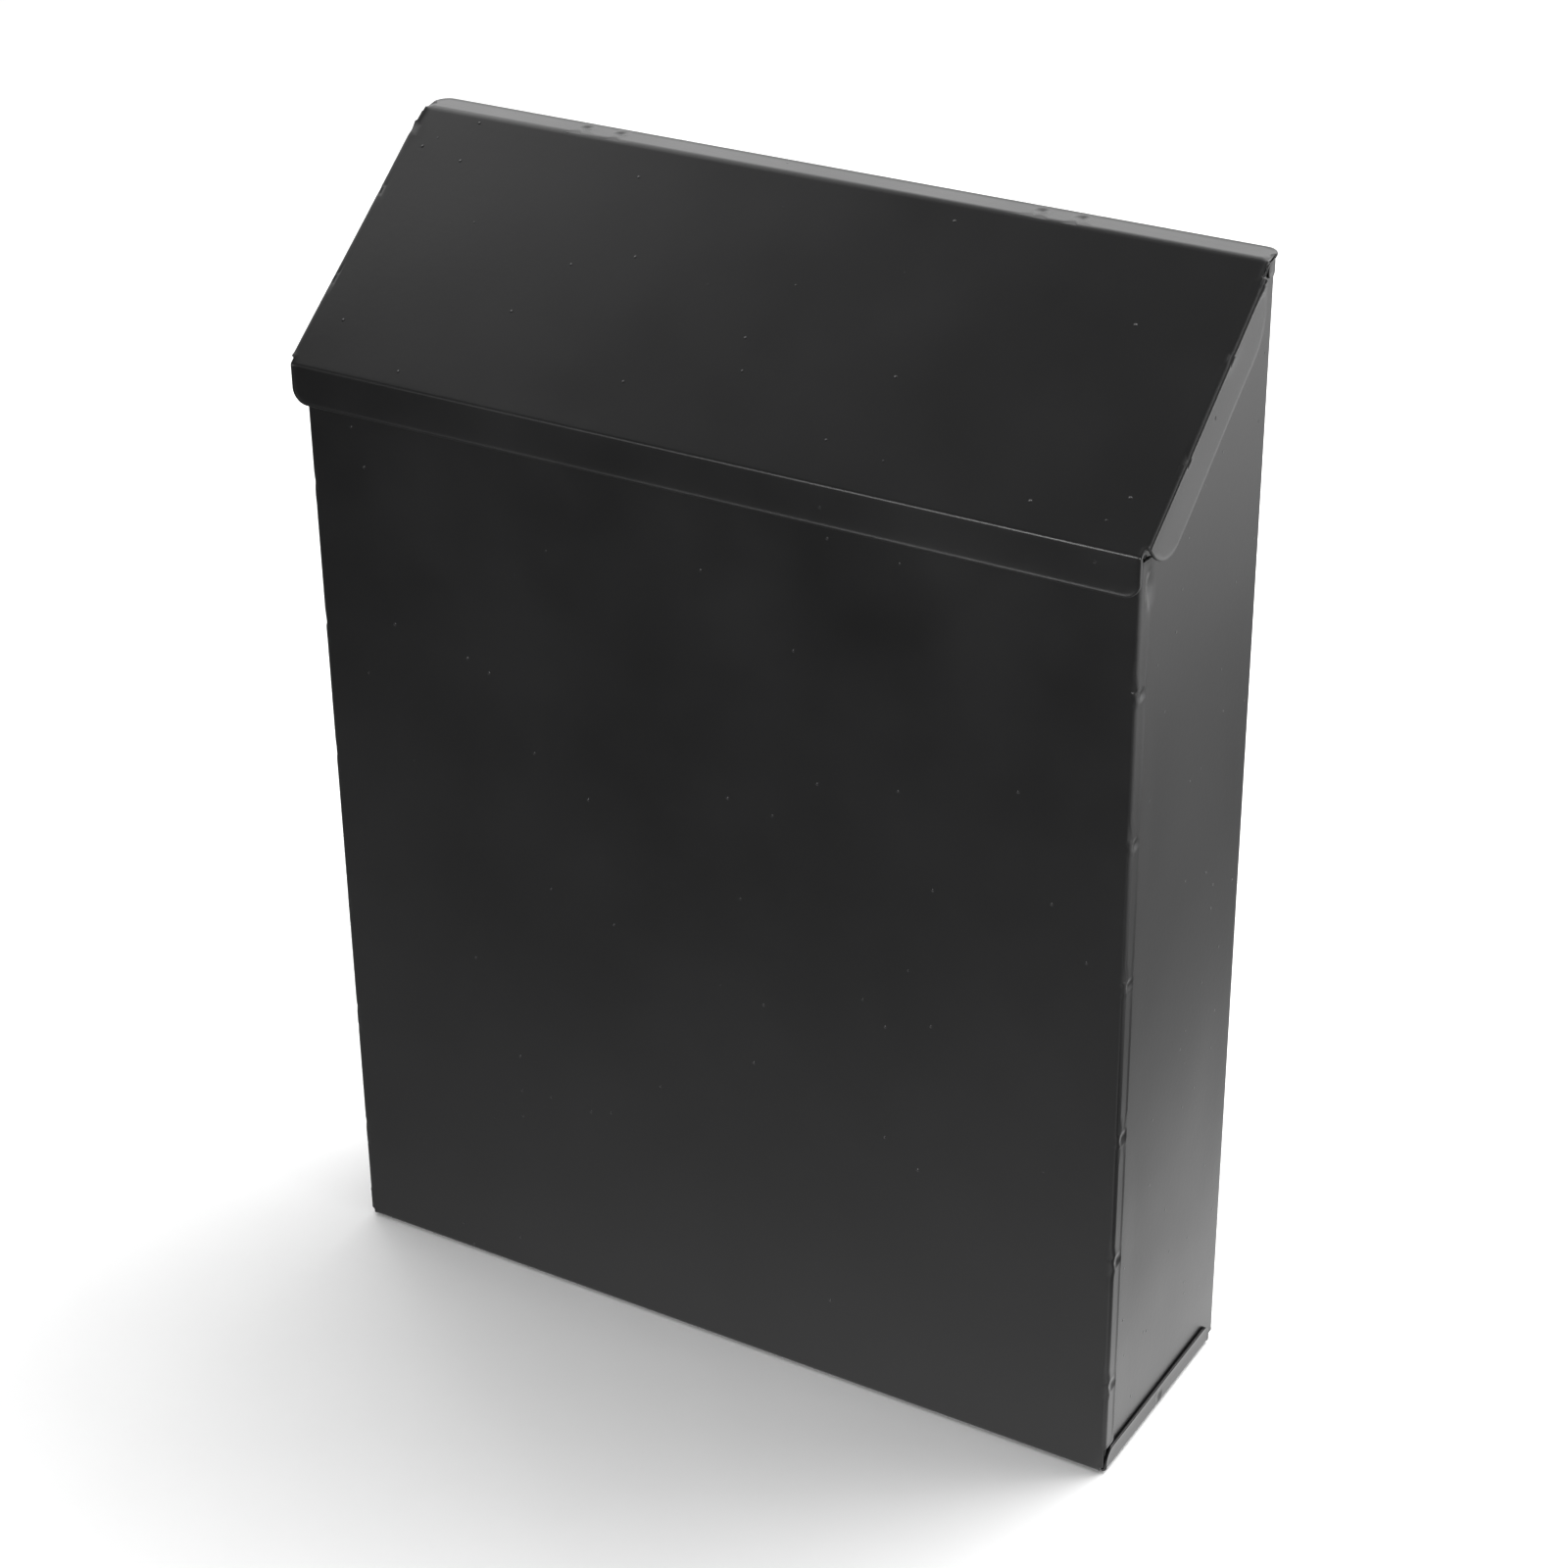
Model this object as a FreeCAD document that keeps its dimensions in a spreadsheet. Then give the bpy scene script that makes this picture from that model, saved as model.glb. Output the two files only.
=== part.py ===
import FreeCAD, Part
import os
import re
import Sketcher

# Wall mounted mailbox of folded steel sheet, in millimetres.
# +X is to the right of someone facing the mailbox, +Y points into the wall and +Z is up.
# Every piece is drawn with the wall plane at y = 0 and the underside of the bottom at z = 0.
# Its Placement then lowers it, so that the origin is the centre of the four wall screws.

DRIVING_SIZES = {
    "sheet": 0.8,                # thickness of all three folded sheets
    "bend_inside": 0.35,         # inside radius of the sharp folds
    "body_width": 241.2,
    "body_depth": 71,
    "front_height": 272.6,
    "back_height": 317.5,
    "front_flange": 5,           # front panel flange lapped over each side
    "front_flange_low": 8,
    "front_flange_top": 268,
    "bottom_flange": 6.5,        # up-turned edge of the bottom along each side
    "bottom_flange_rear": 4.5,
    "bottom_flange_round": 4,
    "rear_flange": 12,           # up-turned edge of the bottom inside the back panel
    "rear_flange_inset": 6,
    "rear_notch": 2.8,
    "hem": 8,                    # folded-over top edge of the front panel
    "hem_inset": 2.4,
    "hem_round": 0.7,
    "side_front_gap": 1.8,       # front edge of a side panel to the face of the front panel
    "side_under_lid": 1,         # top edge of a side panel to the slanted panel
    "lid_top": 321.9,
    "lid_depth": 74.7,
    "lid_rear_gap": 1,           # rear edge of the lid to the wall plane
    "strip_depth": 9.2,          # wall plane to the fold between hinge strip and slanted panel
    "slope": 37.8,               # slanted panel below the horizontal, in degrees
    "strip_fold_inside": 3,
    "lip_height": 11.1,
    "lip_corner": 4.5,
    "lid_width": 246.4,          # over the side flanges
    "panel_width": 244,          # of the hinge strip and of the lip
    "strip_corner": 4.5,
    "lid_flange": 12.1,          # depth of a side flange, square to the slanted panel
    "lid_flange_rear": 12.3,
    "lid_flange_front": 72.8,
    "lid_flange_front_round": 9.5,
    "lid_flange_rear_round": 14,
    "relief_front": 13.1,        # wall plane to the rear edge of each side flange
    "relief_drop": 6.5,
    "ear_height": 5,
    "ear_width": 3.6,
    "ear_round": 1.2,
    "hinge_spacing": 133,        # between the centres of the two hinges
    "hinge_length": 26,
    "leaf": 0.6,                 # thickness of a hinge leaf
    "knuckle_radius": 1.55,
    "knuckle_play": 0.2,         # along the pin, between neighbouring knuckles
    "knuckle_gap": 0.15,         # knuckle to the sheet that its leaf is welded to
    "knuckle_room": 0.3,         # knuckle to the edge of the other leaf
    "leaf_step": 0.5,
    "back_leaf_height": 18,
    "lid_leaf_front": 7.8,
    "pin_clearance": 0.05,
    "pin_head_radius": 1.25,
    "pin_head": 0.5,
    "weld_radius": 2.2,
    "weld_dent": 0.2,
    "hinge_weld_spacing": 10.6,
    "strip_weld_inset": 4.6,
    "back_weld_drop": 13,
    "seam_weld_count": 6,
    "seam_weld_pitch": 41,
    "seam_weld_low": 28.5,
    "seam_weld_inset": 2.6,
    "bottom_weld_inset": 37,
    "bottom_weld_height": 3.2,
    "screw_height": 160,         # centre of the wall screws above the underside
    "screw_spacing_across": 160,
    "screw_spacing_up": 200,
    "screw_hole_radius": 2.75,
    "margin": 5,                 # how far cuts reach past the sheet that they cut
}

# Formulas of size names that several pieces share.
SIDE_FACE = "(body_width / 2 - sheet)"
BEND_OUTSIDE = "(bend_inside + sheet)"
LIP_FOLD = "(lid_top - (lid_depth - strip_depth) * tan(slope))"
AXIS_DEPTH = "(sheet + knuckle_gap + knuckle_radius)"
AXIS_HEIGHT = "(lid_top - sheet - knuckle_gap - knuckle_radius)"
BORE_RADIUS = "(knuckle_radius - leaf)"
HALF_MIDDLE_KNUCKLE = "(hinge_length / 6 - knuckle_play / 2)"
HALF_KNUCKLE_SPACE = "(hinge_length / 6 + knuckle_play / 2)"
LEAF_CUT = "(knuckle_radius + knuckle_room)"
WELD_SPHERE = "((weld_radius^2 + weld_dent^2) / (2 * weld_dent))"
WELD_OUTSIDE = f"({WELD_SPHERE} - weld_dent)"
BEYOND = "(lid_width / 2 + margin)"

TOLERANCE = 0.001                # within which two places are the same
PARALLEL = 0.9999                # cosine between two directions above which they are the same

document = FreeCAD.newDocument("wall_mailbox")


def make_sizes():
    """Write the driving sizes into the spreadsheet, one named cell each."""
    sheet = document.addObject("Spreadsheet::Sheet", "sizes")
    for row, (alias, value) in enumerate(DRIVING_SIZES.items(), start=1):
        sheet.set(f"A{row}", alias)
        sheet.set(f"B{row}", str(value))
        sheet.setAlias(f"B{row}", alias)
    document.recompute()
    return sheet


sizes = make_sizes()


def from_sheet(formula):
    """Turn a formula of size names into an expression on the spreadsheet."""
    return re.sub(r"[a-z_]+", qualified, formula)


def qualified(word):
    return f"sizes.{word.group()}" if word.group() in DRIVING_SIZES else word.group()


def size_of(formula):
    """The value that a formula of size names has now."""
    return float(sizes.evalExpression(from_sheet(formula)))


def slope_line(forward, depth="0"):
    """Height, at a distance in front of the wall, of a line at a depth square to the slanted panel's top."""
    return f"(lid_top - ({forward} - strip_depth) * tan(slope) - ({depth}) / cos(slope))"


def make_body(label, middle="0"):
    """A body drawn about x = 0 and the mailbox's underside, placed from the centre of the wall screws."""
    body = document.addObject("PartDesign::Body", label)
    body.Label = label
    body.setExpression("Placement.Base.x", from_sheet(middle))
    body.setExpression("Placement.Base.z", from_sheet("-screw_height"))
    return body


def origin_feature(body, role):
    return next(feature for feature in body.Origin.OriginFeatures if feature.Role == role)


def sketch_on(body, name, plane, offset="0"):
    """A sketch on one of the body's own origin planes, moved along the plane's normal."""
    sketch = body.newObject("Sketcher::SketchObject", f"{body.Name}_{name}")
    sketch.AttachmentSupport = (origin_feature(body, plane), "")
    sketch.MapMode = "FlatFace"
    sketch.setExpression("AttachmentOffset.Base.z", from_sheet(offset))
    return sketch


def bind(sketch, kind, *target, formula):
    """Constrain one size of the sketch to a formula on the spreadsheet."""
    number = sketch.addConstraint(Sketcher.Constraint(kind, *target, size_of(formula)))
    sketch.setExpression(f"Constraints[{number}]", from_sheet(formula))


def outline(body, name, plane, corners, offset="0"):
    """A sketch of one closed outline of straight lines through corners given as pairs of formulas."""
    sketch = sketch_on(body, name, plane, offset)
    points = [FreeCAD.Vector(size_of(across), size_of(up), 0) for across, up in corners]
    for start, end in zip(points, points[1:] + points[:1]):
        sketch.addGeometry(Part.LineSegment(start, end), False)
    for line in range(len(points)):
        following = (line + 1) % len(points)
        sketch.addConstraint(Sketcher.Constraint("Coincident", line, 2, following, 1))
    for line, (across, up) in enumerate(corners):
        bind(sketch, "DistanceX", -1, 1, line, 1, formula=across)
        bind(sketch, "DistanceY", -1, 1, line, 1, formula=up)
    return sketch


def circles(body, name, plane, centres, radii, offset="0"):
    """A sketch of circles: every radius at every centre."""
    sketch = sketch_on(body, name, plane, offset)
    for across, up in centres:
        for radius in radii:
            centre = FreeCAD.Vector(size_of(across), size_of(up), 0)
            shape = Part.Circle(centre, FreeCAD.Vector(0, 0, 1), size_of(radius))
            circle = sketch.addGeometry(shape, False)
            bind(sketch, "DistanceX", -1, 1, circle, 3, formula=across)
            bind(sketch, "DistanceY", -1, 1, circle, 3, formula=up)
            bind(sketch, "Radius", circle, formula=radius)
    return sketch


def box_corners(left, right, low, high):
    return [(left, low), (right, low), (right, high), (left, high)]


def extrude(body, kind, sketch, length, symmetric, backwards):
    feature = body.newObject(f"PartDesign::{kind}", f"{sketch.Name}_{kind.lower()}")
    feature.Profile = sketch
    feature.SideType = "Symmetric" if symmetric else "One side"
    feature.Reversed = backwards
    feature.setExpression("Length", from_sheet(length))
    document.recompute()
    return feature


def pad(body, sketch, length, symmetric=False, backwards=False):
    """Add material along the normal of the sketch's plane, or against it, or half each way."""
    return extrude(body, "Pad", sketch, length, symmetric, backwards)


def pocket(body, sketch, depth, symmetric=False, backwards=False):
    """Cut against the normal of the sketch's plane, or along it if backwards, or half each way."""
    before = body.Shape.Volume
    feature = extrude(body, "Pocket", sketch, depth, symmetric, backwards)
    check_cut(body, feature, before)
    return feature


def check_cut(body, feature, before):
    if body.Shape.Volume >= before:
        raise RuntimeError(f"{feature.Name} cuts nothing")


def mirror(body, feature):
    """Repeat a feature on the other side of the plane x = 0."""
    copy = body.newObject("PartDesign::Mirrored", f"{feature.Name}_mirrored")
    copy.Originals = [feature]
    copy.MirrorPlane = (origin_feature(body, "YZ_Plane"), [""])
    body.Tip = copy
    document.recompute()
    return copy


def round_edges(body, name, radius, **place):
    """Round the straight edges that lie at every place given as x, y or z formulas, left and right."""
    wanted = {axis: size_of(formula) for axis, formula in place.items()}
    names = []
    for number, edge in enumerate(body.Tip.Shape.Edges, start=1):
        if edge.Curve.TypeId == "Part::GeomLine" and edge_is_at(edge, wanted):
            names.append(f"Edge{number}")
    fillet(body, name, radius, names)


def fillet(body, name, radius, edge_names):
    if not edge_names:
        raise RuntimeError(f"no edge to round for {name}")
    base = body.Tip
    feature = body.newObject("PartDesign::Fillet", f"{body.Name}_{name}")
    feature.Base = (base, edge_names)
    feature.setExpression("Radius", from_sheet(radius))
    document.recompute()


def edge_is_at(edge, wanted):
    """True if both ends of an edge are at the wanted x (both to one side of the middle), y or z."""
    start, end = edge.Vertexes[0].Point, edge.Vertexes[-1].Point
    if "x" in wanted and start.x * end.x < 0:
        return False
    return all(
        abs(place - wanted[axis]) < TOLERANCE
        for point in (start, end)
        for axis, place in (("x", abs(point.x)), ("y", point.y), ("z", point.z))
        if axis in wanted
    )


def weld_dent(body, name, plane, *centre):
    """The shallow dent of a spot weld: a sphere cut in, its centre in an origin plane's own axes."""
    before = body.Shape.Volume
    dent = body.newObject("PartDesign::SubtractiveSphere", f"{body.Name}_{name}")
    dent.AttachmentSupport = (origin_feature(body, plane), "")
    dent.MapMode = "FlatFace"
    dent.setExpression("Radius", from_sheet(WELD_SPHERE))
    for axis, formula in zip("xyz", centre):
        dent.setExpression(f"AttachmentOffset.Base.{axis}", from_sheet(formula))
    document.recompute()
    check_cut(body, dent, before)
    return dent


def hinge_weld_places():
    """Name and x of the four spot welds that hold one row of hinge leaves."""
    return [
        (f"hinge_weld_{side}_{place}", f"{sign}(hinge_spacing {outward} hinge_weld_spacing) / 2")
        for side, sign in (("left", "-"), ("right", ""))
        for place, outward in (("inner", "-"), ("outer", "+"))
    ]


def make_back_and_sides():
    """One sheet folded into a U: the back panel and both sides, with four screw holes in the back."""
    body = make_body("back_and_sides")
    side_front = "-(body_depth - side_front_gap)"
    inner = f"({SIDE_FACE} - sheet)"
    plan = outline(body, "plan", "XY_Plane", [
        (f"-{SIDE_FACE}", "0"),
        (f"-{SIDE_FACE}", side_front),
        (f"-{inner}", side_front),
        (f"-{inner}", "-sheet"),
        (inner, "-sheet"),
        (inner, side_front),
        (SIDE_FACE, side_front),
        (SIDE_FACE, "0"),
    ], offset=BEND_OUTSIDE)
    pad(body, plan, f"back_height - {BEND_OUTSIDE}")
    round_edges(body, "rear_folds_outside", BEND_OUTSIDE, x=SIDE_FACE, y="0")
    round_edges(body, "rear_folds_inside", "bend_inside", x=inner, y="-sheet")
    cut_side_tops(body)
    cut_screw_holes(body)
    for name, across in hinge_weld_places():
        weld_dent(body, name, "XY_Plane", across, WELD_OUTSIDE, f"{AXIS_HEIGHT} - back_weld_drop")
    return body


def cut_side_tops(body):
    """Slope the top edges of both sides, parallel to the slanted panel of the lid."""
    depth = "sheet + side_under_lid"
    start = f"(strip_depth + (lid_top - back_height - ({depth}) / cos(slope)) / tan(slope))"
    front = "(body_depth + margin)"
    top = "(back_height + margin)"
    waste = outline(body, "side_tops", "YZ_Plane", [
        (f"-{start}", "back_height"),
        (f"-{start}", top),
        (f"-{front}", top),
        (f"-{front}", slope_line(front, depth)),
    ])
    pocket(body, waste, "body_width + margin", symmetric=True)


def cut_screw_holes(body):
    """Four round holes in the back, on a rectangle about the origin."""
    across = "(screw_spacing_across / 2)"
    up = "(screw_spacing_up / 2)"
    centres = [
        (f"{side}{across}", f"screw_height {height} {up}")
        for side in ("-", "")
        for height in ("-", "+")
    ]
    holes = circles(body, "screw_holes", "XZ_Plane", centres, ["screw_hole_radius"])
    pocket(body, holes, "sheet * 2", symmetric=True)


def make_front_and_bottom():
    """One sheet: hemmed front panel, bottom, and the flanges that lap the U from outside and behind."""
    body = make_body("front_and_bottom")
    inner_front = "-(body_depth - sheet)"
    section = outline(body, "section", "YZ_Plane", [
        ("-body_depth", "0"),
        ("-sheet", "0"),
        ("-sheet", "rear_flange"),
        ("-2 * sheet", "rear_flange"),
        ("-2 * sheet", "sheet"),
        (inner_front, "sheet"),
        (inner_front, "front_height"),
        ("-body_depth", "front_height"),
    ])
    pad(body, section, "body_width", symmetric=True)
    add_hem(body)
    add_body_flanges(body)
    cut_corner_notches(body)
    round_edges(body, "seam_folds_outside", BEND_OUTSIDE, x="body_width / 2", y="-body_depth")
    round_edges(body, "seam_folds_inside", "bend_inside", x=SIDE_FACE, y=inner_front)
    round_edges(body, "bottom_folds_outside", BEND_OUTSIDE, x="body_width / 2", z="0")
    round_edges(body, "bottom_folds_inside", "bend_inside", x=SIDE_FACE, z="sheet")
    round_edges(body, "front_fold_outside", BEND_OUTSIDE, y="-body_depth", z="0")
    round_edges(body, "front_fold_inside", "bend_inside", y=inner_front, z="sheet")
    round_edges(body, "rear_fold_outside", BEND_OUTSIDE, y="-sheet", z="0")
    round_edges(body, "rear_fold_inside", "bend_inside", y="-2 * sheet", z="sheet")
    add_body_welds(body)
    return body


def add_hem(body):
    """The top edge of the front panel, folded back flat against its inner face."""
    hem = outline(body, "hem", "YZ_Plane", box_corners(
        "-(body_depth - sheet)", "-(body_depth - 2 * sheet)", "front_height - hem", "front_height"))
    pad(body, hem, "body_width - 2 * hem_inset", symmetric=True)
    round_edges(body, "hem_inside", "hem_round", y="-(body_depth - 2 * sheet)", z="front_height")


def add_body_flanges(body):
    """The strips of the front and the bottom that lie against the outside of each side panel."""
    front = outline(body, "front_flange", "YZ_Plane", box_corners(
        "-body_depth", "-(body_depth - front_flange)", "front_flange_low", "front_flange_top"),
        offset=SIDE_FACE)
    mirror(body, pad(body, front, "sheet"))
    bottom = outline(body, "bottom_flange", "YZ_Plane", box_corners(
        f"-(body_depth - {BEND_OUTSIDE})", "-bottom_flange_rear", "0", "bottom_flange"),
        offset=SIDE_FACE)
    mirror(body, pad(body, bottom, "sheet"))
    front_end = f"-(body_depth - {BEND_OUTSIDE})"
    for name, end in (("rear", "-bottom_flange_rear"), ("front", front_end)):
        round_edges(body, f"bottom_flange_{name}", "bottom_flange_round", y=end, z="bottom_flange")


def cut_corner_notches(body):
    """Notches that let the flanges fold: at the top and foot of each seam, and at the rear of the bottom."""
    bend_start = f"(body_width / 2 - {BEND_OUTSIDE})"
    front = box_corners(bend_start, BEYOND, "-(body_depth + margin)", f"-(body_depth - {BEND_OUTSIDE})")
    foot = outline(body, "foot_notch", "XY_Plane", front, offset="front_flange_low")
    mirror(body, pocket(body, foot, "front_flange_low + margin"))
    top = outline(body, "top_notch", "XY_Plane", front, offset="front_flange_top")
    mirror(body, pocket(body, top, "front_height", backwards=True))
    rear = outline(body, "rear_notch", "XY_Plane", box_corners(
        bend_start, BEYOND, "-bottom_flange_rear", "margin"), offset="rear_flange + margin")
    mirror(body, pocket(body, rear, "rear_flange + 2 * margin"))
    corner = outline(body, "rear_corner", "XY_Plane", box_corners(
        "body_width / 2 - rear_flange_inset", BEYOND, "-rear_notch", "margin"),
        offset="rear_flange + margin")
    mirror(body, pocket(body, corner, "rear_flange + 2 * margin"))


def add_body_welds(body):
    """Six spot welds up each front seam and one in the middle of each bottom flange."""
    for side, name in (("-", "left"), ("", "right")):
        outside = f"{side}(body_width / 2 + {WELD_OUTSIDE})"
        inset = "-(body_depth - seam_weld_inset)"
        seam = weld_dent(body, f"seam_weld_{name}", "XY_Plane", outside, inset, "seam_weld_low")
        row = body.newObject("PartDesign::LinearPattern", f"seam_welds_{name}")
        row.Originals = [seam]
        row.Direction = (origin_feature(body, "Z_Axis"), [""])
        row.Mode = "Spacing"
        row.setExpression("Offset", from_sheet("seam_weld_pitch"))
        row.setExpression("Occurrences", from_sheet("seam_weld_count"))
        body.Tip = row
        document.recompute()
        foot = f"bottom_weld_{name}"
        weld_dent(body, foot, "XY_Plane", outside, "-bottom_weld_inset", "bottom_weld_height")


def make_lid():
    """One sheet: hinge strip, slanted panel, front lip, a flange down each side and two small ears."""
    body = make_body("lid")
    inner_fold = "(strip_depth - sheet * tan(slope / 2))"
    inner_lip = "(lid_depth - sheet)"
    section = outline(body, "section", "YZ_Plane", [
        ("-lid_rear_gap", "lid_top"),
        ("-strip_depth", "lid_top"),
        ("-lid_depth", LIP_FOLD),
        ("-lid_depth", f"{LIP_FOLD} - lip_height"),
        (f"-{inner_lip}", f"{LIP_FOLD} - lip_height"),
        (f"-{inner_lip}", slope_line(inner_lip, "sheet")),
        (f"-{inner_fold}", "lid_top - sheet"),
        ("-lid_rear_gap", "lid_top - sheet"),
    ])
    pad(body, section, "lid_width", symmetric=True)
    round_edges(body, "strip_fold_outside", "strip_fold_inside + sheet", y="-strip_depth", z="lid_top")
    round_edges(body, "strip_fold_inside", "strip_fold_inside", y=f"-{inner_fold}", z="lid_top - sheet")
    round_edges(body, "lip_fold_outside", BEND_OUTSIDE, y="-lid_depth", z=LIP_FOLD)
    round_edges(body, "lip_fold_inside", "bend_inside", y=f"-{inner_lip}", z=slope_line(inner_lip, "sheet"))
    add_lid_flanges(body)
    cut_lid_notches(body)
    round_edges(body, "strip_corners", "strip_corner", x="panel_width / 2", y="-lid_rear_gap")
    add_ears(body)
    round_edges(body, "lip_corners", "lip_corner", x="panel_width / 2", z=f"{LIP_FOLD} - lip_height")
    round_slope_folds(body)
    for name, across in hinge_weld_places():
        weld_dent(body, name, "XZ_Plane", across, f"lid_top + {WELD_OUTSIDE}", "strip_weld_inset")
    return body


def add_lid_flanges(body):
    """The flanges that hang over the sides, with rounded ends, square to the slanted panel."""
    front_top = slope_line("lid_flange_front")
    front_free = "(lid_flange_front - lid_flange * sin(slope))"
    side = outline(body, "flange", "YZ_Plane", [
        ("-lid_flange_rear", slope_line("lid_flange_rear")),
        ("-lid_flange_front", front_top),
        (f"-{front_free}", f"{front_top} - lid_flange * cos(slope)"),
        ("-lid_flange_rear", slope_line("lid_flange_rear", "lid_flange")),
    ], offset="lid_width / 2 - sheet")
    mirror(body, pad(body, side, "sheet"))
    round_edges(body, "flange_front", "lid_flange_front_round",
                y=f"-{front_free}", z=f"{front_top} - lid_flange * cos(slope)")
    round_edges(body, "flange_rear", "lid_flange_rear_round",
                y="-lid_flange_rear", z=slope_line("lid_flange_rear", "lid_flange"))


def add_ears(body):
    """The small tabs turned down at the ends of the hinge strip."""
    ear = outline(body, "ear", "YZ_Plane", box_corners(
        "-strip_depth", "-(strip_depth - ear_width)", "lid_top - ear_height", "lid_top - sheet / 2"),
        offset="panel_width / 2 - sheet")
    mirror(body, pad(body, ear, "sheet"))
    round_edges(body, "ear_ends", "ear_round", z="lid_top - ear_height", y="-strip_depth")
    round_edges(body, "ear_rear_ends", "ear_round", z="lid_top - ear_height", y="-(strip_depth - ear_width)")


def cut_lid_notches(body):
    """Cut the ends of the strip back to its width, and a notch between each side flange and the lip."""
    strip = outline(body, "strip_end", "XY_Plane", box_corners(
        "panel_width / 2", BEYOND, "-relief_front", "margin"), offset="lid_top")
    mirror(body, pocket(body, strip, "relief_drop"))
    corners = [
        (f"-lid_flange_front + ({down}) * sin(slope) - ({ahead}) * cos(slope)",
         f"{slope_line('lid_flange_front')} - ({down}) * cos(slope) - ({ahead}) * sin(slope)")
        for ahead, down in box_corners("0", "lip_height * 2", "-lip_height / 2", "lip_height")
    ]
    lip = outline(body, "lip_notch", "YZ_Plane", corners, offset="panel_width / 2")
    mirror(body, pocket(body, lip, "lid_width", backwards=True))


def round_slope_folds(body):
    """Round the folds between the slanted panel and its side flanges."""
    slant = FreeCAD.Vector(0, -size_of("cos(slope)"), -size_of("sin(slope)"))
    shortest = size_of("lid_flange")
    for place, radius, across in (
            ("inside", "bend_inside", "lid_width / 2 - sheet"),
            ("outside", BEND_OUTSIDE, "lid_width / 2")):
        names = []
        for number, edge in enumerate(body.Tip.Shape.Edges, start=1):
            span = edge.Vertexes[-1].Point - edge.Vertexes[0].Point
            along_slope = abs(span.dot(slant)) > span.Length * PARALLEL and span.Length > shortest
            top_or_underside = edge_is_at(edge, {"x": size_of(across)}) and on_slope_fold(edge, place)
            if along_slope and top_or_underside:
                names.append(f"Edge{number}")
        fillet(body, f"slope_folds_{place}", radius, names)


def on_slope_fold(edge, place):
    """True if an edge lies on the top of the slanted panel, or on its underside for an inside fold."""
    depth = "0" if place == "outside" else "sheet"
    vertex = edge.Vertexes[0]
    return abs(vertex.Z - size_of(slope_line(str(-vertex.Y), depth))) < TOLERANCE


def make_back_leaf(label, middle):
    """Hinge leaf welded inside the back panel, with the middle knuckle."""
    body = make_body(label, middle)
    rear = f"-({AXIS_DEPTH} - knuckle_radius)"
    plate = outline(body, "plate", "YZ_Plane", [
        ("-sheet", f"{AXIS_HEIGHT} - back_leaf_height"),
        ("-sheet", "back_height"),
        (rear, "back_height + leaf_step"),
        (rear, AXIS_HEIGHT),
        (f"{rear} - leaf", AXIS_HEIGHT),
        (f"{rear} - leaf", "back_height + leaf_step"),
        ("-(sheet + leaf)", "back_height"),
        ("-(sheet + leaf)", f"{AXIS_HEIGHT} - back_leaf_height"),
    ])
    pad(body, plate, "hinge_length", symmetric=True)
    beside = outline(body, "beside_knuckle", "XZ_Plane", box_corners(
        HALF_MIDDLE_KNUCKLE, "hinge_length", f"{AXIS_HEIGHT} - {LEAF_CUT}", "lid_top"))
    mirror(body, pocket(body, beside, "body_depth", symmetric=True))
    knuckle = circles(body, "knuckle", "YZ_Plane", [(f"-{AXIS_DEPTH}", AXIS_HEIGHT)],
                      ["knuckle_radius", BORE_RADIUS])
    pad(body, knuckle, f"2 * {HALF_MIDDLE_KNUCKLE}", symmetric=True)
    return body


def make_lid_leaf(label, middle):
    """Hinge leaf welded under the strip of the lid, with the two outer knuckles."""
    body = make_body(label, middle)
    top = "(lid_top - sheet)"
    step = f"-({AXIS_DEPTH} + leaf_step)"
    plate = outline(body, "plate", "YZ_Plane", [
        ("-lid_leaf_front", top),
        (step, top),
        (f"-{AXIS_DEPTH}", f"{top} - knuckle_gap"),
        (f"-{AXIS_DEPTH}", f"{top} - knuckle_gap - leaf"),
        (step, f"{top} - leaf"),
        ("-lid_leaf_front", f"{top} - leaf"),
    ])
    pad(body, plate, "hinge_length", symmetric=True)
    between = outline(body, "between_knuckles", "XY_Plane", box_corners(
        f"-{HALF_KNUCKLE_SPACE}", HALF_KNUCKLE_SPACE, f"-({AXIS_DEPTH} + {LEAF_CUT})", "margin"),
        offset="lid_top")
    pocket(body, between, "lip_height")
    knuckle = circles(body, "knuckle", "YZ_Plane", [(f"-{AXIS_DEPTH}", AXIS_HEIGHT)],
                      ["knuckle_radius", BORE_RADIUS], offset=HALF_KNUCKLE_SPACE)
    mirror(body, pad(body, knuckle, f"hinge_length / 2 - {HALF_KNUCKLE_SPACE}"))
    return body


def make_pin(label, middle):
    """Hinge pin with a peened head at each end."""
    body = make_body(label, middle)
    centre = [(f"-{AXIS_DEPTH}", AXIS_HEIGHT)]
    shank = circles(body, "shank", "YZ_Plane", centre, [f"{BORE_RADIUS} - pin_clearance"])
    pad(body, shank, "hinge_length + pin_head", symmetric=True)
    head = circles(body, "head", "YZ_Plane", centre, ["pin_head_radius"],
                   offset="hinge_length / 2 + pin_clearance")
    mirror(body, pad(body, head, "pin_head"))
    return body


def make_hinges():
    """Both hinges: two leaves and a pin each."""
    pieces = []
    for side, middle in (("left", "-hinge_spacing / 2"), ("right", "hinge_spacing / 2")):
        pieces.append(make_back_leaf(f"hinge_{side}_back_leaf", middle))
        pieces.append(make_lid_leaf(f"hinge_{side}_lid_leaf", middle))
        pieces.append(make_pin(f"hinge_{side}_pin", middle))
    return pieces


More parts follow.
